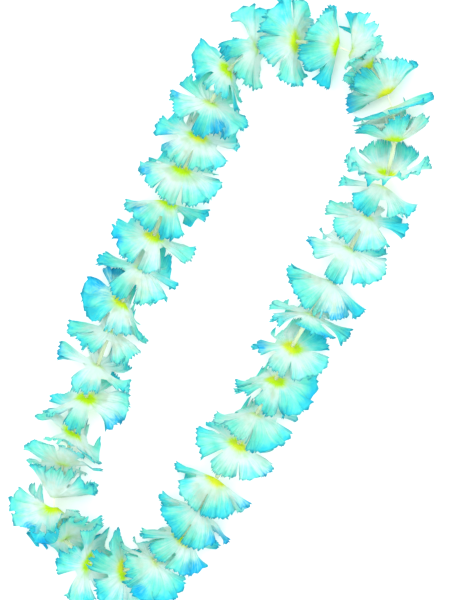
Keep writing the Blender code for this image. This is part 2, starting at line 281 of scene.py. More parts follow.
# The string's route round the loop, anticlockwise from the top, in pixels of the photograph
ROUTE_PX = (
    (340, 44), (297, 40), (258, 44), (226, 67), (211, 101), (198, 136), (182, 169), (166, 202),
    (154, 237), (139, 272), (121, 303), (108, 335), (97, 368), (84, 401), (73, 434), (62, 467),
    (50, 504), (61, 540), (86, 564), (122, 575), (154, 562), (183, 541), (200, 509), (216, 477),
    (238, 445), (257, 413), (276, 380), (291, 347), (311, 314), (331, 281), (350, 249), (369, 215),
    (388, 178), (398, 138), (391, 96), (369, 63),
)
# The photograph's point under the part's origin, and the photograph's size
ORIGIN_PX = (221.9, 303.9)
PHOTO_PX = (471, 600)


@dataclass
class Bloom:
    """A flower disc. Directions on the photograph are in degrees, 0 to the right and 90 up."""

    at_px: tuple
    opens: float
    top: float = 70
    side: float = 10
    base: float = -45
    spin: float = 0
    size: float = 1.0
    crumple: float = 0.35
    centre: float = 1.15


# Every disc in order round the string, clockwise from the top left, as the photograph shows it.
# top, side and base are the leans of its petals above, beside and below the string, and a
# negative lean is to the other side. crumple is how far its petals are folded up like fans
# and turned each its own way. centre is how strongly its middle is dyed.
BLOOMS = (
    Bloom((224, 67), 176, top=62, side=12, base=-40, spin=20, size=0.94, crumple=0.7),
    Bloom((257, 50), 165, side=14, spin=50, crumple=0.5, centre=0.5),
    Bloom((296, 43), 182, side=8, spin=5, size=1.04, crumple=0.2),
    Bloom((339, 44), 178, top=74, base=40, spin=54, crumple=0.1),
    Bloom((352, 48), 25, top=66, base=40, spin=10, crumple=0, centre=0.6),
    Bloom((367, 71), 186, top=64, side=0, base=-30, spin=54, size=0.92, crumple=0.1),
    Bloom((386, 95), 128, side=12, base=40, spin=54, crumple=0.2),
    Bloom((392, 107), 300, top=24, side=6, base=24, spin=40, crumple=0.5, centre=0.45),
    Bloom((397, 142), 96, top=50, side=26, base=30, spin=15, crumple=0.7),
    Bloom((387, 176), 84, top=-8, side=26, base=64, spin=18, size=1.04, crumple=0.1),
    Bloom((385, 187), 252, top=62, side=14, base=40, crumple=0.9, centre=0.4),
    Bloom((366, 216), 258, top=66, side=14, spin=54, size=0.98, crumple=0.6, centre=0.5),
    Bloom((350, 249), 250, top=74, spin=18, crumple=0.2, centre=0.45),
    Bloom((331, 281), 245, top=78, side=14, base=45, spin=50, size=1.04, crumple=0.1, centre=0.35),
    Bloom((311, 315), 256, top=28, base=-30, spin=36, crumple=0.8, centre=0.4),
    Bloom((290, 346), 266, top=66, side=8, base=-55, spin=10, size=0.92, crumple=0.4),
    Bloom((277, 381), 284, top=68, spin=30, crumple=0.3),
    Bloom((257, 415), 284, top=66, side=8, crumple=0.4, centre=0.5),
    Bloom((239, 445), 242, top=66, spin=20),
    Bloom((214, 477), 241, top=78, side=12, base=45, spin=54, crumple=0.1),
    Bloom((198, 508), 238, top=76, side=12, base=40, spin=50, crumple=0.1, centre=0.35),
    Bloom((185, 539), 262, side=18, spin=4, size=0.95, crumple=0.4),
    Bloom((153, 559), 252, top=66, side=8, spin=18, crumple=0.6, centre=0.5),
    Bloom((123, 576), 182, top=64, side=6, crumple=0.5),
    Bloom((89, 562), 178, top=50, side=4, base=-40, spin=32, crumple=0.5),
    Bloom((63, 540), 68, top=68, side=14, base=-60, spin=18, size=1.04, crumple=0.2, centre=0.6),
    Bloom((49, 508), 230, top=74, side=14, base=25, spin=30, size=1.02, crumple=0.1),
    Bloom((52, 497), 56, top=54, side=38, base=45, spin=18, crumple=0.1, centre=0.2),
    Bloom((66, 466), 90, top=58, spin=10, crumple=0.6, centre=0.6),
    Bloom((78, 434), 204, top=58, side=6, spin=36, crumple=0.7),
    Bloom((88, 399), 290, side=12, base=-55, spin=10, size=1.03, crumple=0.5),
    Bloom((98, 366), 230, top=42, side=4, base=-50, spin=25, crumple=0.7, centre=0.4),
    Bloom((111, 332), 262, top=44, side=6, base=-45, spin=45, crumple=0.7, centre=0.45),
    Bloom((121, 302), 202, top=62, side=4, base=-20, spin=10, crumple=0.4),
    Bloom((144, 270), 248, top=72, side=12, spin=36, crumple=0.4, centre=0.5),
    Bloom((154, 236), 250, top=76, side=12, crumple=0.5),
    Bloom((167, 201), 262, top=68, side=12, base=40, spin=54, crumple=0.5),
    Bloom((183, 169), 262, top=76, spin=20, crumple=0.1),
    Bloom((198, 136), 252, spin=45, crumple=0.4),
    Bloom((213, 104), 246, top=66, side=6, base=-50, spin=8, crumple=0.5, centre=0.7),
)

# Where the dye ran to a strong blue: the flower's number, the place on the photograph, and the
# patch's radius there in pixels
BLUE_PATCHES = (
    (1, (186, 92), 16), (3, (308, 30), 16), (6, (341, 92), 18), (7, (346, 106), 13),
    (8, (345, 126), 13), (10, (424, 132), 8), (13, (306, 244), 9), (14, (336, 314), 19),
    (15, (322, 340), 9), (16, (262, 346), 8), (17, (316, 396), 9), (19, (268, 474), 9),
    (20, (246, 504), 9), (21, (222, 543), 22), (22, (196, 572), 18), (23, (140, 590), 9),
    (26, (44, 543), 8), (27, (30, 528), 10), (31, (116, 424), 14),
    (32, (54, 350), 12), (33, (150, 356), 9), (34, (104, 277), 25), (35, (128, 312), 9),
    (36, (118, 240), 7), (37, (140, 206), 9), (38, (146, 170), 8), (39, (170, 140), 13),
    (40, (220, 128), 13), (40, (178, 92), 9),
)

# Where a patch starts to fade and where it ends, in shares of its radius
PATCH_FADE = (0.3, 1.2)


def metres(name, description, default, least=0.0):
    """A length property."""
    return FloatProperty(
        name=name, description=description, default=default, min=least, unit="LENGTH")


def colour(name, description, default):
    """A colour property, in linear values."""
    return FloatVectorProperty(
        name=name, description=description, default=default, subtype="COLOR", size=4, min=0, max=1)


class LeiSizes(PropertyGroup):
    """Sizes of the lei's cloth, string and straws."""

    tooth_pitch: metres(
        "Tooth pitch", "Distance between the teeth of a pinked edge", 0.0023, 0.0005)
    tooth_depth: metres("Tooth depth", "Depth of the notches between the teeth", 0.0026)
    pleat_depth: metres("Pleat depth", "Height of the heat-set pleats at the rim", 0.0003)
    corner_cut: metres("Corner cut", "How far the corners of a petal are rounded back", 0.0038)
    slit_share: FloatProperty(
        name="Slit share",
        description="Width that most slits stay under, as a share of a petal's width",
        default=0.07, min=0.0, max=0.5, subtype="FACTOR")
    ruffle: FloatProperty(
        name="Ruffle", description="How much the rims of the petals ruffle, as a lean in degrees",
        default=22.0, min=0.0)
    strand_radius: metres(
        "Strand radius", "Radius of one strand of the twisted string", 0.00031, 0.0001)
    strand_offset: metres(
        "Strand offset", "Distance of each strand from the string's middle", 0.00030)
    twist_pitch: metres(
        "Twist pitch", "Length of string in which a strand goes once round", 0.0038, 0.001)
    strands: IntProperty(
        name="Strands", description="Number of strands in the string", default=3, min=1, max=6)
    straw_radius: metres("Straw radius", "Outer radius of a straw", 0.0016, 0.0005)
    straw_wall: metres("Straw wall", "Thickness of a straw's wall", 0.00022, 0.00005)
    camera_height: metres("Camera height", "Height of the camera over the lei", 3.0, 0.5)


class LeiColours(PropertyGroup):
    """Colours of the lei's cloth, string, straws and floor."""

    centre: colour("Centre", "Dye round the hole of a flower", (0.64, 0.97, 0.0, 1))
    yellow_centre: colour("Yellow centre", "That dye where it is yellowest", (0.96, 0.93, 0.04, 1))
    bleed: colour("Bleed", "Pale green where the middle's dye bled out", (0.50, 0.93, 0.46, 1))
    cloth: colour("Cloth", "Undyed cloth in the middle of a petal", (0.84, 0.97, 0.935, 1))
    tinge: colour("Tinge", "Greyer cloth where the dyes cancel out", (0.70, 0.79, 0.64, 1))
    wash: colour("Wash", "Pale dye on the outer half of a petal", (0.10, 0.85, 0.87, 1))
    green_wash: colour("Green wash", "The pale dye where it is greenest", (0.18, 0.88, 0.735, 1))
    rim: colour("Rim", "Strong dye along the rim", (0.015, 0.62, 0.78, 1))
    edge: colour("Edge", "Dye that gathers in the cut edges", (0.0, 0.20, 0.32, 1))
    patch: colour("Patch", "Blue patches where two dyes ran together", (0.0, 0.42, 0.88, 1))
    string: colour("String", "Cream string", (0.88, 0.87, 0.72, 1))
    straw: colour("Straw", "Clear straw", (0.76, 0.87, 0.60, 1))
    floor: colour("Floor", "Pale studio floor", (0.97, 0.97, 0.97, 1))


class Route:
    """The string's smooth closed route on the ground plan, with its arc length."""

    def __init__(self, points_px, length, origin_px):
        smooth = smooth_spline(np.array(points_px, float), True)
        steps = np.linalg.norm(np.diff(smooth, axis=0, append=smooth[:1]), axis=1)
        self.metres_per_px = length / steps.sum()
        self.origin_px = np.array(origin_px, float)
        self.length = length
        self.points = self.from_photo(smooth)
        self.s = np.concatenate(([0.0], np.cumsum(steps)[:-1])) * self.metres_per_px
        ahead = np.roll(self.points, -1, axis=0) - np.roll(self.points, 1, axis=0)
        self.tangents = ahead / np.linalg.norm(ahead, axis=1)[:, None]
        turn = np.roll(self.tangents, -1, axis=0) - np.roll(self.tangents, 1, axis=0)
        left = np.stack((-self.tangents[:, 1], self.tangents[:, 0]), axis=1)
        self.bends = (turn * left).sum(axis=1) / np.linalg.norm(ahead, axis=1)

    def from_photo(self, points_px):
        """Photograph pixels as metres on the ground plan."""
        offset = (np.asarray(points_px, float) - self.origin_px) * self.metres_per_px
        return offset * (1, -1)

    def nearest(self, point_px):
        """The arc length of the route's point nearest to a point of the photograph."""
        gaps = np.linalg.norm(self.points - self.from_photo(point_px), axis=1)
        return self.s[gaps.argmin()]

    def read(self, values, s):
        """A value kept along the route, at any arc length."""
        return np.interp(np.mod(s, self.length), self.s, values, period=self.length)

    def tangent(self, s):
        """The route's unit direction on the ground plan, at any arc length."""
        along = np.stack([self.read(self.tangents[:, k], s) for k in (0, 1)], axis=-1)
        return along / np.linalg.norm(along, axis=-1, keepdims=True)

    def place(self, s, u, v):
        """World points from the string's own coordinates."""
        along = self.tangent(s)
        x = self.read(self.points[:, 0], s) - u * along[..., 1]
        y = self.read(self.points[:, 1], s) + u * along[..., 0]
        return np.stack((x, y, v + STRING_HEIGHT), axis=-1)


def smooth_spline(points, closed, samples=SAMPLES_PER_SPAN):
    """A uniform cubic B-spline, closed or open, sampled at even steps of its parameter."""
    t = np.linspace(0, 1, samples, endpoint=False)[:, None]
    weights = ((1 - t) ** 3, 3 * t**3 - 6 * t**2 + 4, -3 * t**3 + 3 * t**2 + 3 * t + 1, t**3)
    count = len(points)
    spans = []
    for k in range(count if closed else count - 1):
        numbers = np.arange(k - 1, k + 3)
        numbers = numbers % count if closed else np.clip(numbers, 0, count - 1)
        spans.append(sum(w * points[n] for w, n in zip(weights, numbers)) / 6)
    return np.concatenate(spans)


class Disc:
    """A bloom set on the route, able to say how far along the string its sheet lies."""

    def __init__(self, bloom, route, number):
        self.bloom = bloom
        self.number = number
        self.s = float(route.nearest(bloom.at_px))
        self.bend = float(route.read(route.bends, self.s))
        self.radius = DISC_RADIUS * bloom.size
        east, north = route.tangent(self.s)
        turn = (bloom.opens - math.degrees(math.atan2(north, east)) + 180) % 360 - 180
        self.sign = 1 if abs(turn) <= 90 else -1
        if self.sign < 0:
            turn = (turn + 360) % 360 - 180
        yaw = max(-LARGEST_YAW, min(LARGEST_YAW, turn))
        self.yaw_slope = -math.tan(math.radians(yaw))
        self.swing = self.sign * SWING_SHARE * math.radians(yaw)

    def lean(self, theta):
        """The sheet's lean, in degrees, for the directions theta round the string. A disc that is
        turned to one side leans most towards that side."""
        up = np.clip(np.sin(theta + self.swing), 0, 1) ** LEAN_EASE
        down = np.clip(-np.sin(theta), 0, 1) ** LEAN_EASE
        bloom = self.bloom
        return bloom.side + (bloom.top - bloom.side) * up + (bloom.base - bloom.side) * down

    def walk(self, theta, own_lean=None):
        """Walks out over the sheet along the directions theta, and gives the distance r from the
        string and the way h along it at each of the even steps from the hole to the rim.
        own_lean(share) is the petals' own lean at that share of the way out."""
        drop = -np.sin(theta)
        height = STRING_HEIGHT - GROUND_CLEARANCE
        to_ground = np.where(drop > TOUCH, height / np.maximum(drop, TOUCH), OUT_OF_REACH)
        r = np.zeros_like(theta)
        h = np.zeros_like(theta)
        step = self.radius / WALK_STEPS
        rs, hs = [r], [h]
        for k in range(WALK_STEPS):
            out = (k + 0.5) * step
            share = min(max((out - HUB_RADIUS) / (self.radius - HUB_RADIUS), 0), 1)
            bow = HUB_LEAN_SHARE + (RIM_LEAN_SHARE - HUB_LEAN_SHARE) * share
            extra = own_lean(share) if own_lean else 0
            angle = np.clip(self.lean(theta) * bow + extra, -STEEPEST_LEAN, STEEPEST_LEAN)
            wide = np.clip(1 - self.bend * r * np.cos(theta), MOST_CROWDED, MOST_SPREAD)
            slope = self.sign * np.tan(np.radians(angle)) + self.yaw_slope * np.cos(theta)
            slope = slope if out > HUB_RADIUS else np.zeros_like(slope)
            onward = step / np.sqrt(1 + slope**2)
            grounded = r + onward > to_ground
            forward = np.clip(slope / GROUND_EASE, -1, 1)
            h = h + np.where(grounded, forward * step, slope * onward) / wide
            r = np.where(grounded, to_ground, r + onward)
            rs.append(r)
            hs.append(h)
        return np.array(rs), np.array(hs)

    def plain_s(self, theta, r):
        """Where the plain sheet, without its petals' own leans, stands at the distances r along
        each direction theta."""
        rs, hs = self.walk(theta)
        columns = [np.interp(r[:, c] - TOUCH, rs[:, c], hs[:, c]) for c in range(len(theta))]
        return np.stack(columns, axis=1)


def keep_between(disc, before, after, length, s, r, theta, plain):
    """Holds a sheet's points between the surfaces halfway to its two neighbours. plain holds how
    far from their holes the plain sheets before, here and after stand at the same points."""
    back = (disc.s - before.s) % length
    onward = (after.s - disc.s) % length
    half = SHEET_SPACING / 2 + SPACING_GROWTH * np.clip(r - HUB_RADIUS, 0, None)
    crowding = np.clip(1 - disc.bend * r * np.cos(theta), TIGHTEST_BEND, 1)
    half = np.minimum(half, WIDEST_SPACING / 2) / crowding
    lowest = (plain[0] - back + plain[1]) / 2 + half
    highest = (plain[2] + onward + plain[1]) / 2 - half
    centre = (lowest + highest) / 2
    room = np.clip(highest - lowest, 0, None) / 2
    return disc.s + np.clip(s - disc.s, centre - room, centre + room)


def smooth_step(low, high, value):
    """0 below low, 1 above high, and a soft rise between."""
    share = np.clip((value - low) / (high - low), 0, 1)
    return share * share * (3 - 2 * share)


def polar(r, angle):
    """The two coordinates of a distance and a direction."""
    return r * np.cos(angle), r * np.sin(angle)


class Sheet:
    """A flower's mesh in the making: its points with what the finish reads at each of them."""

    def __init__(self):
        self.points = []
        self.flat = []
        self.values = {"pleat": [], "edge_gap": [], "dye": []}
        self.faces = []
        self.corners = []
        self.count = 0

    def add(self, points, flat, **values):
        """Adds a block of points with their values, and gives their numbers in its shape."""
        self.points.append(points.reshape(-1, 3))
        self.flat.append(np.stack(flat, axis=-1).reshape(-1, 2))
        for name, kept in self.values.items():
            kept.append(values[name].ravel())
        shape = points.shape[:-1]
        numbers = np.arange(math.prod(shape)).reshape(shape) + self.count
        self.count += numbers.size
        return numbers

    def weave(self, numbers):
        """Adds the faces between the rows and columns of a block of numbers."""
        inner, outer = numbers[:-1], numbers[1:]
        quads = (inner[:, :-1], outer[:, :-1], outer[:, 1:], inner[:, 1:])
        self.faces.extend(np.stack([q.ravel() for q in quads], axis=1).tolist())

    def join(self, hub_number, last, first):
        """Adds the cloth between one petal's last column and the next petal's first column, which
        meet at a point of the hub."""
        self.corners.append([hub_number, last[0], first[0]])
        self.weave(np.stack((last, first), axis=1))


def read_table(table, across, along):
    """Values between a table's rows and columns, at the places across and along given from 0
    to 1."""
    x = np.clip(across, 0, 1) * (table.shape[1] - 1)
    y = np.clip(along, 0, 1) * (table.shape[0] - 1)
    column = np.minimum(x.astype(int), table.shape[1] - 2)
    row = np.minimum(y.astype(int), table.shape[0] - 2)
    x, y = x - column, y - row
    near = table[row, column] * (1 - x) + table[row, column + 1] * x
    far = table[row + 1, column] * (1 - x) + table[row + 1, column + 1] * x
    return near * (1 - y) + far * y


def cut_petal(disc, shares, sizes, chance):
    """How one petal is cut: for each point of its rows, from the hub to the tips of its teeth,
    the distance from the hole, the share of half its width, and how far the cut edge is."""
    teeth = len(shares) // TOOTH_COLUMNS
    length = disc.radius * chance.uniform(*PETAL_LENGTHS)
    lopsided = chance.uniform(-MOST_LOPSIDED, MOST_LOPSIDED)
    corner = smooth_step(*CORNER_SPAN, np.abs(shares + lopsided))
    corner *= sizes.corner_cut * chance.uniform(*CORNER_CUTS)
    bay = length - corner - sizes.tooth_depth
    lengths = np.array([chance.uniform(*TOOTH_LENGTHS) for _ in range(teeth + 1)])
    lengths = np.repeat(lengths, TOOTH_COLUMNS)[:len(shares)]
    tips = np.resize(TOOTH_PROFILE, len(shares)) * lengths
    steps = np.linspace(0, 1, PETAL_ROWS)[1:] ** ROW_POWER
    out = HUB_RADIUS + (bay - HUB_RADIUS) * steps[:, None]
    out = np.vstack([out, bay + tips * sizes.tooth_depth])
    sides = [sizes.slit_share * chance.uniform(*SLIT_DRAWS) ** SLIT_POWER for _ in range(2)]
    opening = np.where(shares < 0, sides[0], sides[1])
    parting = opening * smooth_step(SLIT_STARTS, SLIT_ENDS, out / disc.radius) ** SLIT_OPENING
    across = shares * (1 - parting)
    to_side = out * math.pi / PETALS * (1 - np.abs(shares))
    to_side = to_side + disc.radius * np.clip(SLIT_STARTS - out / disc.radius, 0, None)
    to_rim = bay + EDGE_DEPTH * sizes.tooth_depth - out
    return out, across, np.clip(np.minimum(to_side, to_rim), 0, None)


def petal_lean(disc, petal, shares, extra, twist, ruffle, phase, sweep):
    """A petal's own lean in degrees across its columns, as a function of the way out. ruffle is
    its height, phase its start and sweep its length."""
    turned = LEAST_TURNED + disc.bloom.crumple
    start = disc.number * DISC_PHASE + petal * PETAL_PHASE
    own = turned * (extra + twist * shares) + WAVE_LEAN * np.sin(shares * WAVE_SWEEP + start)
    own = own * (1 - max(1 - turned, 0) * np.abs(shares) ** MEETING_POWER)
    waves = ruffle * np.sin(shares * sweep + phase)
    waves += SECOND_RUFFLE * ruffle * np.sin(shares * SECOND_SWEEP * sweep - start)
    return lambda share: own * share + waves * smooth_step(RUFFLE_STARTS, 1.0, share)


def flower_sheet(disc, before, after, route, sizes):
    """The cut and leaned sheet of one flower, before its pleats are set."""
    chance = random.Random(disc.number)
    spreads = (LEAN_SPREAD, TWIST_SPREAD, FOLD_SPREAD)
    own_draws = [[chance.uniform(-most, most) for most in spreads] for _ in range(PETALS)]
    teeth = max(FEWEST_TEETH, round(2 * math.pi * disc.radius / PETALS / sizes.tooth_pitch))
    middles = math.radians(disc.bloom.spin) + 2 * HALF_PETAL * np.arange(PETALS)
    shares = np.linspace(-1, 1, TOOTH_COLUMNS * teeth + 1)
    sheet = Sheet()

    # The rings round the hole
    theta = (middles[:, None] + HALF_PETAL * shares[None, :-1]).ravel()
    r = np.array(HUB_RINGS)[:, None] + 0 * theta
    flat = polar(r, theta)
    points = route.place(disc.s + 0 * r, *flat)
    hub = sheet.add(points, flat, pleat=0 * r, edge_gap=0 * r + FAR_FROM_EDGE, dye=0 * r)
    sheet.weave(np.hstack([hub, hub[:, :1]]))

    # The petals: each is cut, folded, walked out with its own lean and kept in its own room
    even_r = np.linspace(0, disc.radius, LOOKUP_ROWS)[:, None]
    sides = []
    for petal, (extra, twist, unevenness) in enumerate(own_draws):
        middle = middles[petal]
        folded = min(max(disc.bloom.crumple + unevenness, 0), 1)
        folded = MOST_FOLDED * abs(math.cos(middle)) * folded
        out, flat_across, edge_gap = cut_petal(disc, shares, sizes, chance)
        narrow = 1 - folded * smooth_step(0, FOLDS_FULL, out / disc.radius)
        across = flat_across * narrow
        theta = middle + HALF_PETAL * shares
        phase = chance.uniform(0, 2 * math.pi)
        sweep = chance.uniform(*RUFFLE_SWEEPS)
        own_lean = petal_lean(disc, petal, shares, extra, twist, sizes.ruffle, phase, sweep)
        rs, hs = disc.walk(theta, own_lean)
        place = ((across + 1) / 2, out / disc.radius)
        r = read_table(rs, *place)
        h = read_table(hs, *place)
        plain = [one.plain_s(theta, even_r + 0 * theta) for one in (before, disc, after)]
        plain = [read_table(table, place[0], r / disc.radius) for table in plain]
        ridges = np.arcsin(np.sin(math.pi * FOLD_RIDGES * flat_across + phase)) * 2 / math.pi
        h = h + ridges * HALF_PETAL * r / (2 * FOLD_RIDGES) * np.sqrt(1 - narrow**2)
        angle = middle + HALF_PETAL * across
        s = keep_between(disc, before, after, route.length, disc.s + h, r, angle, plain)
        points = route.place(s, *polar(r, angle))
        flat = polar(out, middle + HALF_PETAL * flat_across)
        outward = smooth_step(HUB_RADIUS, PLEATS_FULL * disc.radius, out)
        pleat = outward * np.resize(PLEAT_PROFILE, len(shares))
        dye = np.full_like(out, chance.uniform(-1, 1))
        numbers = sheet.add(points, flat, pleat=pleat, edge_gap=edge_gap, dye=dye)
        columns = (petal * TOOTH_COLUMNS * teeth + np.arange(len(shares))) % hub.shape[1]
        sheet.weave(np.vstack([hub[-1:, columns], numbers]))
        sides.append((numbers, points, out[:, 0] < SLIT_STARTS * disc.radius))

    # The cloth that joins neighbouring petals near the hub
    for petal, (numbers, points, whole) in enumerate(sides):
        next_numbers, next_points, next_whole = sides[(petal + 1) % PETALS]
        apart = np.linalg.norm(points[:, -1] - next_points[:, 0], axis=1)
        joined = np.cumprod(whole & next_whole & (apart < WIDEST_JOIN)).astype(bool)
        hub_number = hub[-1, (petal + 1) * TOOTH_COLUMNS * teeth % hub.shape[1]]
        sheet.join(hub_number, numbers[joined, -1], next_numbers[joined, 0])
    return sheet


def on_scene(name, data):
    """Puts data on the scene as an object."""
    thing = bpy.data.objects.new(name, data)
    bpy.context.scene.collection.objects.link(thing)
    return thing


def keep_values(mesh, name, values, kind="FLOAT", field="value"):
    """Keeps values for the points of a mesh as an attribute."""
    attribute = mesh.attributes.new(name, kind, "POINT")
    attribute.data.foreach_set(field, np.asarray(values, np.float32).ravel())


def blueness(disc, points, route):
    """How blue the dye ran at each point of a flower, from 0 to 1."""
    blue = np.zeros(len(points))
    for number, place_px, radius_px in BLUE_PATCHES:
        if number == disc.number:
            gap = np.linalg.norm(points[:, :2] - route.from_photo(place_px), axis=1)
            fade = smooth_step(*PATCH_FADE, gap / (radius_px * route.metres_per_px))
            blue = np.maximum(blue, 1 - fade)
    return blue


def flower_object(disc, sheet, route):
    """The sheet as a mesh object, with its flat cut as its UV map and its dye as attributes."""
    points = np.concatenate(sheet.points)
    flat = np.concatenate(sheet.flat)
    mesh = bpy.data.meshes.new("flower_sheet")
    mesh.from_pydata(points.tolist(), [], sheet.faces + sheet.corners)
    corners = np.zeros(len(mesh.loops), np.int32)
    mesh.loops.foreach_get("vertex_index", corners)
    uv = mesh.uv_layers.new(name="flat_cut")
    uv.data.foreach_set("uv", (flat[corners] / (2 * DISC_RADIUS) + 0.5).ravel())
    for name, blocks in sheet.values.items():
        keep_values(mesh, name, np.concatenate(blocks))
    keep_values(mesh, "blue", blueness(disc, points, route))
    keep_values(mesh, "centre", np.full(len(points), disc.bloom.centre))
    mesh.shade_smooth()
    return on_scene("flower_sheet", mesh)


def put(tree, kind, inputs=None, **settings):
    """Adds a node with its settings, and sets or links its inputs by name or number."""
    node = tree.nodes.new(kind)
    for name, value in settings.items():
        setattr(node, name, value)
    for key, value in (inputs or {}).items():
        if isinstance(value, bpy.types.NodeSocket):
            tree.links.new(value, node.inputs[key])
        else:
            node.inputs[key].default_value = value
    return node


def maths(tree, operation, first, second=0.0, third=0.0):
    """A Math node's result. It works in shader and geometry trees alike."""
    inputs = {0: first, 1: second, 2: third}
    return put(tree, "ShaderNodeMath", inputs, operation=operation).outputs[0]


def product(tree, first, *others):
    """The product of values."""
    for other in others:
        first = maths(tree, "MULTIPLY", first, other)
    return first


def vector_maths(tree, operation, first, second=(0, 0, 0)):
    """A Vector Math node's vector."""
    node = put(tree, "ShaderNodeVectorMath", {0: first, 1: second}, operation=operation)
    return node.outputs["Vector"]


def scaled(tree, vector, scale):
    """A vector or colour times a number."""
    node = put(tree, "ShaderNodeVectorMath", {0: vector, "Scale": scale}, operation="SCALE")
    return node.outputs["Vector"]


def soft_range(tree, value, low, high, start=0.0, end=1.0):
    """A value's soft change from start at low to end at high."""
    inputs = {"Value": value, "From Min": low, "From Max": high, "To Min": start, "To Max": end}
    node = put(tree, "ShaderNodeMapRange", inputs, interpolation_type="SMOOTHSTEP")
    return node.outputs["Result"]


def mix_colours(tree, share, first, second):
    """A mix of two colours."""
    inputs = {0: share, 6: first, 7: second}
    return put(tree, "ShaderNodeMix", inputs, data_type="RGBA").outputs[2]


def noise(tree, vector, scale, detail=2.0, roughness=0.5):
    """A noise's value over a vector."""
    inputs = {"Vector": vector, "Scale": scale, "Detail": detail, "Roughness": roughness}
    return put(tree, "ShaderNodeTexNoise", inputs).outputs[0]


def object_place(tree):
    """The Object coordinates."""
    return put(tree, "ShaderNodeTexCoord").outputs["Object"]


def attribute(tree, name):
    """A flower's own value at each point."""
    return put(tree, "ShaderNodeAttribute", attribute_name=name).outputs["Fac"]


def bumped(tree, height, strength, distance):
    """A normal that follows a fine relief."""
    inputs = {"Strength": strength, "Distance": distance, "Height": height}
    return put(tree, "ShaderNodeBump", inputs).outputs[0]


def new_material(name):
    """An empty material with its tree."""
    material = bpy.data.materials.new(name)
    material.use_nodes = True
    material.node_tree.nodes.clear()
    return material, material.node_tree


def add_sockets(tree, side, sockets):
    """Adds a group's named sockets of their kinds on its INPUT or OUTPUT side."""
    for name, kind in sockets.items():
        tree.interface.new_socket(name, in_out=side, socket_type=f"NodeSocket{kind}")


def thread_group():
    """The look of fine threads, for cloth and string alike: a mask of them and their height."""
    name = "fine_threads"
    if name in bpy.data.node_groups:
        return bpy.data.node_groups[name]
    group = bpy.data.node_groups.new(name, "ShaderNodeTree")
    add_sockets(group, "INPUT", {"Vector": "Vector", "Threads": "Float", "Unevenness": "Float"})
    add_sockets(group, "OUTPUT", {"Mask": "Float", "Height": "Float"})
    given = put(group, "NodeGroupInput").outputs
    across = scaled(group, given["Vector"], given["Threads"])
    parts = put(group, "ShaderNodeSeparateXYZ", {0: across}).outputs
    crossing = product(group, maths(group, "SINE", parts[0]), maths(group, "SINE", parts[1]))
    weave = maths(group, "MULTIPLY_ADD", crossing, 0.5, 0.5)
    slubs = maths(group, "SUBTRACT", noise(group, across, *SLUBS), 0.5)
    mask = maths(group, "ADD", weave, product(group, slubs, given["Unevenness"]))
    put(group, "NodeGroupOutput", {"Mask": mask, "Height": mask})
    return group


def fine_threads(tree, place, closeness, unevenness):
    """The threads in a material, as close and as uneven as it has them."""
    inputs = {"Vector": place, "Threads": closeness, "Unevenness": unevenness}
    return put(tree, "ShaderNodeGroup", inputs, node_tree=thread_group()).outputs


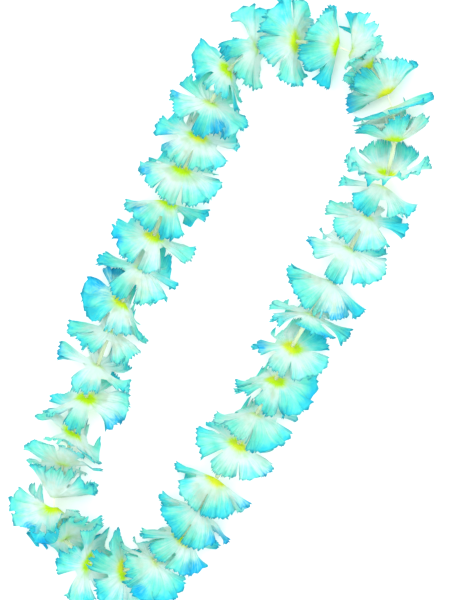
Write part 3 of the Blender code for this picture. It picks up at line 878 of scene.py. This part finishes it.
def cloth_material(colours):
    """Thin dyed polyester: green centre, pale middle, aqua rim and blue patches, that lets light
    through."""
    material, tree = new_material("dyed_cloth")
    place = object_place(tree)
    uv = put(tree, "ShaderNodeUVMap", uv_map="flat_cut").outputs[0]
    out = scaled(tree, vector_maths(tree, "SUBTRACT", uv, (0.5, 0.5, 0.0)), 2.0)
    radius = put(tree, "ShaderNodeVectorMath", {0: out}, operation="LENGTH").outputs["Value"]
    turning = scaled(tree, vector_maths(tree, "NORMALIZE", out), STREAKS_ROUND)
    pleats = vector_maths(tree, "ADD", turning, scaled(tree, out, STREAKS_OUT))
    pleats = vector_maths(tree, "ADD", pleats, scaled(tree, place, STREAKS_APART))

    # How far out a point counts for the dyes, after all that shifts them
    noises = {}
    shift = 0.0
    for where, table in ((pleats, STREAKS), (place, SPOTS)):
        for name, (scale, detail, roughness, reach) in table.items():
            noises[name] = noise(tree, where, scale, detail, roughness)
            own_shift = maths(tree, "MULTIPLY_ADD", noises[name], reach, -reach / 2)
            shift = maths(tree, "ADD", shift, own_shift)
    dyed = maths(tree, "ADD", radius, shift)
    dyed = maths(tree, "MULTIPLY_ADD", attribute(tree, "dye"), PETAL_SHIFT, dyed)
    fine_streaks = noises["fine_streaks"]

    # The cloth and its pale dye
    bath = noise(tree, vector_maths(tree, "ADD", place, BATH_PLACE), *BATH)
    tinged = noise(tree, vector_maths(tree, "ADD", place, TINGE_PLACE), *TINGE)
    cloth = mix_colours(
        tree, soft_range(tree, tinged, *TINGED), colours.cloth[:], colours.tinge[:])
    wash = mix_colours(
        tree, soft_range(tree, bath, *GREENER), colours.wash[:], colours.green_wash[:])
    rim_share = product(tree, soft_range(tree, dyed, *RIM_SPAN), RIM_STRENGTH)

    # The blue patches, and the dark line along the cut edges
    patch_share = product(
        tree, attribute(tree, "blue"), soft_range(tree, dyed, *PATCH_SPAN),
        soft_range(tree, fine_streaks, *PATCH_STREAKS))
    outer = product(tree, soft_range(tree, radius, *LINE_SPAN), LINE_STRENGTH)
    line_share = product(
        tree, soft_range(tree, attribute(tree, "edge_gap"), 0.0, LINE_WIDTH, 1.0, 0.0), outer,
        soft_range(tree, fine_streaks, *LINE_STREAKS))

    # The middle's dye, and how it bled out
    strength = attribute(tree, "centre")
    reach = maths(tree, "MULTIPLY_ADD", noises["streaks"], CENTRE_STREAKS, radius)
    reach = maths(tree, "MULTIPLY_ADD", noises["blotches"], CENTRE_BLOTCHES, reach)
    growth = maths(tree, "MULTIPLY_ADD", strength, -CENTRE_GROWTH, CENTRE_GROWTH)
    reach = maths(tree, "ADD", reach, growth)
    bleed_share = product(
        tree, soft_range(tree, reach, *BLEED_SPAN), soft_range(tree, tinged, *TINGED_BLEED),
        strength)
    centre_share = product(
        tree, soft_range(tree, reach, *CENTRE_SPAN),
        maths(tree, "MULTIPLY_ADD", strength, *CENTRE_STRENGTH))
    centre = mix_colours(
        tree, soft_range(tree, bath, *YELLOWER), colours.centre[:], colours.yellow_centre[:])

    # The dyes one over another, then painted shade along the creases: the whole cloth a little
    # darker, and darkest in the creases' valleys, where the fine streaks are low
    base = cloth
    for share, dye in (
            (soft_range(tree, dyed, *WASH_SPAN), wash), (rim_share, colours.rim[:]),
            (patch_share, colours.patch[:]), (line_share, colours.edge[:]),
            (bleed_share, colours.bleed[:]), (centre_share, centre)):
        base = mix_colours(tree, share, base, dye)
    base = scaled(tree, base, soft_range(tree, fine_streaks, *CREASE_SHADE))

    # The threads and creases, with the light on the cloth and through it
    threads = fine_threads(tree, place, *CLOTH_THREADS)
    creases = maths(tree, "MULTIPLY_ADD", fine_streaks, CREASE_HEIGHT, threads["Height"])
    normal = bumped(tree, creases, *CLOTH_RELIEF)
    front = put(tree, "ShaderNodeBsdfPrincipled", {
        "Base Color": base, "Roughness": 0.82, "Specular IOR Level": 0.18,
        "Sheen Weight": 0.12, "Sheen Roughness": 0.5, "Normal": normal}).outputs[0]
    through = put(tree, "ShaderNodeBsdfTranslucent", {"Color": base, "Normal": normal}).outputs[0]
    mixed = put(tree, "ShaderNodeMixShader", {0: LIGHT_THROUGH, 1: front, 2: through})
    put(tree, "ShaderNodeOutputMaterial", {"Surface": mixed.outputs[0]})
    return material


def string_material(colours):
    """Cream cotton string with fine fibres along its strands."""
    if "cream_string" in bpy.data.materials:
        return bpy.data.materials["cream_string"]
    material, tree = new_material("cream_string")
    place = object_place(tree)
    threads = fine_threads(tree, place, *STRING_THREADS)
    clean = soft_range(tree, noise(tree, place, *STAINS), *STAINED)
    stain = (*(c * STAIN_SHADE for c in colours.string[:3]), 1)
    shader = put(tree, "ShaderNodeBsdfPrincipled", {
        "Base Color": mix_colours(tree, clean, stain, colours.string[:]),
        "Roughness": soft_range(tree, threads["Mask"], *STRING_ROUGHNESS),
        "Specular IOR Level": 0.25,
        "Normal": bumped(tree, threads["Height"], *STRING_RELIEF)})
    put(tree, "ShaderNodeOutputMaterial", {"Surface": shader.outputs[0]})
    return material


def straw_material(colours):
    """Clear plastic straw, faintly scuffed."""
    material, tree = new_material("clear_straw")
    place = object_place(tree)
    edge_on = put(tree, "ShaderNodeLayerWeight", {"Blend": 0.35}).outputs["Facing"]
    ripples = noise(tree, place, STRAW_RIPPLES)
    shader = put(tree, "ShaderNodeBsdfPrincipled", {
        "Base Color": colours.straw[:], "IOR": 1.45,
        "Roughness": soft_range(tree, noise(tree, place, *SCUFFS), *STRAW_ROUGHNESS),
        "Alpha": soft_range(tree, edge_on, *STRAW_COVER),
        "Normal": bumped(tree, ripples, *STRAW_RELIEF)})
    put(tree, "ShaderNodeOutputMaterial", {"Surface": shader.outputs[0]})
    return material


def floor_material(colours):
    """Pale matte studio floor."""
    material, tree = new_material("studio_floor")
    grain = noise(tree, object_place(tree), *FLOOR_GRAIN)
    base = scaled(tree, colours.floor[:3], soft_range(tree, grain, *FLOOR_SHADES))
    shader = put(tree, "ShaderNodeBsdfPrincipled",
                 {"Base Color": base, "Roughness": 0.9, "Specular IOR Level": 0.1})
    put(tree, "ShaderNodeOutputMaterial", {"Surface": shader.outputs[0]})
    return material


def new_geometry_tree(name, inputs):
    """A Geometry Nodes tree with its geometry sockets, its named inputs and a material."""
    tree = bpy.data.node_groups.new(name, "GeometryNodeTree")
    add_sockets(tree, "INPUT", {"Geometry": "Geometry", **inputs, "Material": "Material"})
    add_sockets(tree, "OUTPUT", {"Geometry": "Geometry"})
    return tree, put(tree, "NodeGroupInput").outputs


def end_geometry_tree(tree, geometry, material):
    """Ends a tree in Realize Instances and Set Material."""
    real = put(tree, "GeometryNodeRealizeInstances", {0: geometry}).outputs[0]
    dressed = put(tree, "GeometryNodeSetMaterial", {0: real, "Material": material}).outputs[0]
    put(tree, "NodeGroupOutput", {0: dressed})


def stored(tree, name, kind="FLOAT"):
    """The values that a mesh keeps as an attribute."""
    return put(tree, "GeometryNodeInputNamedAttribute", {"Name": name}, data_type=kind).outputs[0]


def moved(tree, geometry, offset):
    """Geometry with its points moved by an offset."""
    inputs = {"Geometry": geometry, "Offset": offset}
    return put(tree, "GeometryNodeSetPosition", inputs).outputs[0]


def grown(source, tree, values, name):
    """Runs a tree on the source object, and keeps the result as a plain mesh in its place."""
    modifier = source.modifiers.new(tree.name, "NODES")
    modifier.node_group = tree
    for item in tree.interface.items_tree:
        if item.in_out == "INPUT" and item.name in values:
            modifier[item.identifier] = values[item.name]
    evaluated = source.evaluated_get(bpy.context.evaluated_depsgraph_get())
    mesh = bpy.data.meshes.new_from_object(evaluated)
    mesh.name = name
    piece = on_scene(name, mesh)
    source.modifiers.remove(modifier)
    bpy.data.objects.remove(source, do_unlink=True)
    return piece


def pleat_tree():
    """Sets heat pleats in a flower's sheet: each tooth's ridge up and each notch's valley down."""
    tree, given = new_geometry_tree("heat_pleats", {"Depth": "Float", "Unevenness": "Float"})
    place = put(tree, "GeometryNodeInputPosition").outputs[0]
    normal = put(tree, "GeometryNodeInputNormal").outputs[0]
    uneven = maths(tree, "SUBTRACT", noise(tree, place, PLEAT_NOISE), 0.5)
    uneven = maths(tree, "MULTIPLY_ADD", uneven, given["Unevenness"], 1.0)
    height = product(tree, stored(tree, "pleat"), uneven, given["Depth"])
    pleated = moved(tree, given["Geometry"], scaled(tree, normal, height))
    end_geometry_tree(tree, pleated, given["Material"])
    return tree


def twist_tree(strands):
    """Winds strands round a route and gives each its thickness."""
    tree, given = new_geometry_tree("twisted_strands", {
        "Step": "Float", "Pitch": "Float", "Offset": "Float", "Strand Radius": "Float"})
    upright = put(tree, "GeometryNodeSetCurveNormal", {0: given["Geometry"]}, mode="Z_UP")
    even = put(tree, "GeometryNodeResampleCurve",
               {0: upright.outputs[0], "Length": given["Step"]}, mode="LENGTH").outputs[0]
    along = put(tree, "GeometryNodeSplineParameter").outputs["Length"]
    turns = maths(tree, "DIVIDE", along, given["Pitch"])
    normal = put(tree, "GeometryNodeInputNormal").outputs[0]
    tangent = put(tree, "GeometryNodeInputTangent").outputs[0]
    beside = vector_maths(tree, "CROSS_PRODUCT", tangent, normal)
    profile = put(tree, "GeometryNodeCurvePrimitiveCircle",
                  {"Resolution": STRAND_SIDES, "Radius": given["Strand Radius"]}).outputs[0]
    join = put(tree, "GeometryNodeJoinGeometry")
    for k in range(strands):
        angle = product(tree, maths(tree, "ADD", turns, k / strands), 2 * math.pi)
        across = scaled(tree, normal, maths(tree, "COSINE", angle))
        over = scaled(tree, beside, maths(tree, "SINE", angle))
        offset = scaled(tree, vector_maths(tree, "ADD", across, over), given["Offset"])
        tube = put(tree, "GeometryNodeCurveToMesh", {
            "Curve": moved(tree, even, offset), "Profile Curve": profile, "Fill Caps": True})
        tree.links.new(tube.outputs[0], join.inputs[0])
    smooth = put(tree, "GeometryNodeSetShadeSmooth", {0: join.outputs[0]}).outputs[0]
    end_geometry_tree(tree, smooth, given["Material"])
    return tree


def straw_tree():
    """Puts a hollow straw on each point, along its way and as long as it says."""
    tree, given = new_geometry_tree(
        "clear_straws", {"Radius": "Float", "Wall": "Float", "Sides": "Int"})
    middle = maths(tree, "MULTIPLY_ADD", given["Wall"], -0.5, given["Radius"])
    ring = put(tree, "GeometryNodeCurvePrimitiveCircle",
               {"Resolution": given["Sides"], "Radius": middle}).outputs[0]
    wall = put(tree, "GeometryNodeCurvePrimitiveQuadrilateral",
               {"Width": given["Wall"], "Height": 1.0}).outputs[0]
    tube = put(tree, "GeometryNodeCurveToMesh", {"Curve": ring, "Profile Curve": wall}).outputs[0]
    way = stored(tree, "way", "FLOAT_VECTOR")
    turned = put(tree, "FunctionNodeAlignRotationToVector", {"Vector": way}, axis="Z").outputs[0]
    size = put(tree, "ShaderNodeCombineXYZ", {0: 1.0, 1: 1.0, 2: stored(tree, "length")})
    placed = put(tree, "GeometryNodeInstanceOnPoints", {
        "Points": given["Geometry"], "Instance": tube, "Rotation": turned,
        "Scale": size.outputs[0]}).outputs[0]
    end_geometry_tree(tree, placed, given["Material"])
    return tree


def discs_on_route():
    """The route and the discs in their order along it."""
    route = Route(ROUTE_PX, LOOP_LENGTH, ORIGIN_PX)
    discs = [Disc(bloom, route, k + 1) for k, bloom in enumerate(BLOOMS)]
    discs.sort(key=lambda disc: disc.s)
    return route, discs


def hole_places(route, discs):
    """Where the string passes through each disc."""
    stations = np.array([disc.s for disc in discs])
    centred = np.zeros_like(stations)
    return route.place(stations, centred, centred)


def curve_through(points, cyclic):
    """A plain poly curve through points, for a tree to dress."""
    curve = bpy.data.curves.new("route", "CURVE")
    curve.dimensions = "3D"
    spline = curve.splines.new("POLY")
    spline.points.add(len(points) - 1)
    for point, place in zip(spline.points, points):
        point.co = (*place, 1)
    spline.use_cyclic_u = cyclic
    return on_scene("route", curve)


class LEI_OT_add_flowers(Operator):
    """Adds the cloth flowers, each cut, leaned, pleated and dyed"""

    bl_idname = "lei.add_flowers"
    bl_label = "Add flowers"

    def execute(self, context):
        sizes = context.scene.lei_sizes
        route, discs = discs_on_route()
        cloth = cloth_material(context.scene.lei_colours)
        tree = pleat_tree()
        values = {"Depth": sizes.pleat_depth, "Unevenness": PLEAT_UNEVENNESS, "Material": cloth}
        for k, disc in enumerate(discs):
            after = discs[(k + 1) % len(discs)]
            sheet = flower_sheet(disc, discs[k - 1], after, route, sizes)
            source = flower_object(disc, sheet, route)
            flower = grown(source, tree, values, f"flower_{disc.number:02d}")
            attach(flower, BODY)
            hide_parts(f"bloom_{disc.number:02d}")
        return {"FINISHED"}


class LEI_OT_add_string(Operator):
    """Adds the twisted string all the way round, through every flower"""

    bl_idname = "lei.add_string"
    bl_label = "Add string"

    def execute(self, context):
        sizes = context.scene.lei_sizes
        holes = hole_places(*discs_on_route())
        around = np.linalg.norm(np.roll(holes, -1, axis=0) - holes, axis=1).sum()
        values = {
            "Step": STRING_STEP, "Pitch": around / round(around / sizes.twist_pitch),
            "Offset": sizes.strand_offset, "Strand Radius": sizes.strand_radius,
            "Material": string_material(context.scene.lei_colours)}
        source = curve_through(holes, True)
        string = grown(source, twist_tree(sizes.strands), values, "twisted_string")
        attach(string, BODY)
        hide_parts("string_with_straws")
        return {"FINISHED"}


class LEI_OT_add_knot(Operator):
    """Adds the knot that ties the string's ends, with its two short tails"""

    bl_idname = "lei.add_knot"
    bl_label = "Add knot"

    def execute(self, context):
        sizes = context.scene.lei_sizes
        route, discs = discs_on_route()
        holes = hole_places(route, discs)
        before = [disc.number for disc in discs].index(KNOT_FOLLOWS)
        run = holes[(before + 1) % len(discs)] - holes[before]
        way = run / np.linalg.norm(run)
        left = np.array((-way[1], way[0], 0.0))
        middle = holes[before] + run - way * KNOT_SETBACK
        turn = np.linspace(0, 2 * math.pi * KNOT_TURNS, KNOT_POINTS)
        along = np.linspace(-0.5, 0.5, KNOT_POINTS) * KNOT_LENGTH
        wound = np.stack((along, *polar(KNOT_REACH, turn)), axis=1)
        path = smooth_spline(np.vstack([FIRST_TAIL, wound, SECOND_TAIL]), False, KNOT_SAMPLES)
        path = path @ np.array((way, left, (0.0, 0.0, 1.0))) + middle
        values = {
            "Step": KNOT_STEP, "Pitch": sizes.twist_pitch, "Offset": sizes.strand_offset,
            "Strand Radius": sizes.strand_radius * KNOT_THINNESS,
            "Material": string_material(context.scene.lei_colours)}
        knot = grown(curve_through(path, False), twist_tree(sizes.strands), values, "string_knot")
        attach(knot, BODY)
        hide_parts("string_with_straws")
        return {"FINISHED"}


class LEI_OT_add_straws(Operator):
    """Adds the clear straws that keep the flowers apart"""

    bl_idname = "lei.add_straws"
    bl_label = "Add straws"

    def execute(self, context):
        sizes = context.scene.lei_sizes
        route, discs = discs_on_route()
        holes = hole_places(route, discs)
        runs = np.roll(holes, -1, axis=0) - holes
        lengths = np.linalg.norm(runs, axis=1)
        knotted = np.array([disc.number == KNOT_FOLLOWS for disc in discs])
        kept = (lengths > SHORTEST_STRAW) & ~knotted
        mesh = bpy.data.meshes.new("straw_places")
        mesh.from_pydata((holes + runs / 2)[kept].tolist(), [], [])
        keep_values(mesh, "length", lengths[kept] - 2 * STRAW_CLEARANCE)
        keep_values(mesh, "way", runs[kept], "FLOAT_VECTOR", "vector")
        values = {
            "Radius": sizes.straw_radius, "Wall": sizes.straw_wall, "Sides": STRAW_SIDES,
            "Material": straw_material(context.scene.lei_colours)}
        straws = grown(on_scene("straw_places", mesh), straw_tree(), values, "straws")
        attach(straws, BODY)
        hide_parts("string_with_straws")
        return {"FINISHED"}


class LEI_OT_add_stage(Operator):
    """Adds the floor, the soft lights and the camera that looks straight down"""

    bl_idname = "lei.add_stage"
    bl_label = "Add stage"

    def execute(self, context):
        context.scene.view_settings.view_transform = "Standard"
        self.add_floor(context)
        self.add_lights(context)
        self.add_camera(context)
        return {"FINISHED"}

    def add_floor(self, context):
        mesh = bpy.data.meshes.new("studio_floor")
        corners = [(-1, -1), (1, -1), (1, 1), (-1, 1)]
        places = [(FLOOR_HALF * x, FLOOR_HALF * y, -FLOOR_GAP) for x, y in corners]
        mesh.from_pydata(places, [], [(0, 1, 2, 3)])
        mesh.materials.append(floor_material(context.scene.lei_colours))
        floor = on_scene("studio_floor", mesh)

    def add_lights(self, context):
        world = bpy.data.worlds.new("studio")
        context.scene.world = world
        world.use_nodes = True
        background = world.node_tree.nodes["Background"]
        background.inputs["Color"].default_value = (1.0, 1.0, 1.0, 1)
        background.inputs["Strength"].default_value = WORLD_STRENGTH
        for name, place, size, power in LIGHTS:
            light = bpy.data.lights.new(name, "AREA")
            light.size = size
            light.energy = power
            lamp = on_scene(name, light)
            lamp.location = place
            aim = -lamp.location
            lamp.rotation_euler = aim.to_track_quat("-Z", "Y").to_euler()

    def add_camera(self, context):
        route, _ = discs_on_route()
        height = context.scene.lei_sizes.camera_height
        middle = route.from_photo((PHOTO_PX[0] / 2, PHOTO_PX[1] / 2))
        camera = bpy.data.cameras.new("camera")
        camera.sensor_fit = "VERTICAL"
        camera.sensor_height = SENSOR_HEIGHT
        shown = PHOTO_PX[1] * route.metres_per_px
        camera.lens = camera.sensor_height * (height - STRING_HEIGHT) / shown
        eye = on_scene("camera", camera)
        eye.location = (*middle, height)
        context.scene.camera = eye


class LEI_PT_panel(Panel):
    """The lei's pieces, sizes and colours"""

    bl_idname = "LEI_PT_panel"
    bl_label = "Flower Lei"
    bl_space_type = "VIEW_3D"
    bl_region_type = "UI"
    bl_category = "Lei"

    def draw(self, context):
        layout = self.layout
        for operator in OPERATORS:
            layout.operator(operator.bl_idname)
        for group in (context.scene.lei_sizes, context.scene.lei_colours):
            box = layout.box()
            for name in group.bl_rna.properties.keys():
                if name not in ("rna_type", "name"):
                    box.prop(group, name)


OPERATORS = (
    LEI_OT_add_flowers, LEI_OT_add_string, LEI_OT_add_knot, LEI_OT_add_straws, LEI_OT_add_stage)
CLASSES = (LeiSizes, LeiColours, *OPERATORS, LEI_PT_panel)


def register():
    """Registers the classes and puts the sizes and colours on the scene."""
    for cls in CLASSES:
        bpy.utils.register_class(cls)
    bpy.types.Scene.lei_sizes = PointerProperty(type=LeiSizes)
    bpy.types.Scene.lei_colours = PointerProperty(type=LeiColours)


def unregister():
    """Takes the sizes and colours off the scene and unregisters the classes."""
    del bpy.types.Scene.lei_colours
    del bpy.types.Scene.lei_sizes
    for cls in reversed(CLASSES):
        bpy.utils.unregister_class(cls)


def main():
    """Builds every piece in order."""
    register()
    bpy.ops.lei.add_flowers()
    bpy.ops.lei.add_string()
    bpy.ops.lei.add_knot()
    bpy.ops.lei.add_straws()
    bpy.ops.lei.add_stage()


if __name__ == "__main__":
    main()
